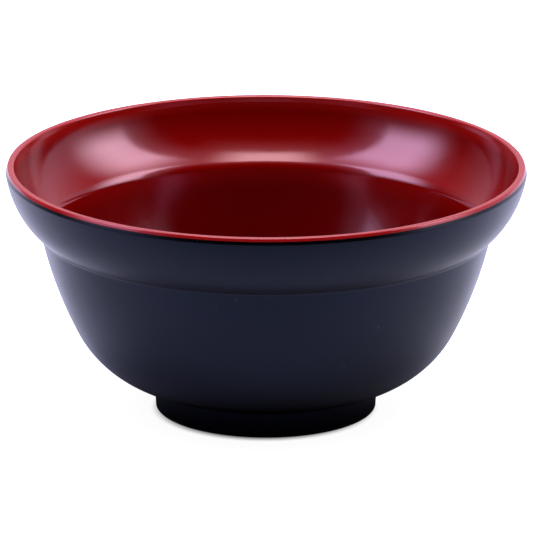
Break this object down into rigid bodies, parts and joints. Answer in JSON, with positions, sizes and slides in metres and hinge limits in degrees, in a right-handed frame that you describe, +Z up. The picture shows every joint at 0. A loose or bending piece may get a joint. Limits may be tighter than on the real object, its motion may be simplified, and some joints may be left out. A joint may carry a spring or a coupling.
{
  "type": "rice bowl",
  "caption": "Deep round rice bowl with a flared, stepped collar and a short foot ring; a glossy red lining over a satin blue-black moulded shell.",
  "frame": {"origin": "centre of the foot ring's lower face, on the surface the bowl stands on", "axes": "+Z up along the bowl's axis of revolution, towards the mouth; +X and +Y are any two radial directions, because the bowl is the same all round"},
  "size_m": [0.18, 0.18, 0.0869],
  "materials": {
    "outer_shell": "satin moulded melamine, blue-black",
    "inner_liner": "glossy glazed melamine, deep red"
  },
  "bodies": {
    "root": {"outer_shell": "outer_shell", "inner_liner": "inner_liner"}
  },
  "joints": []
}
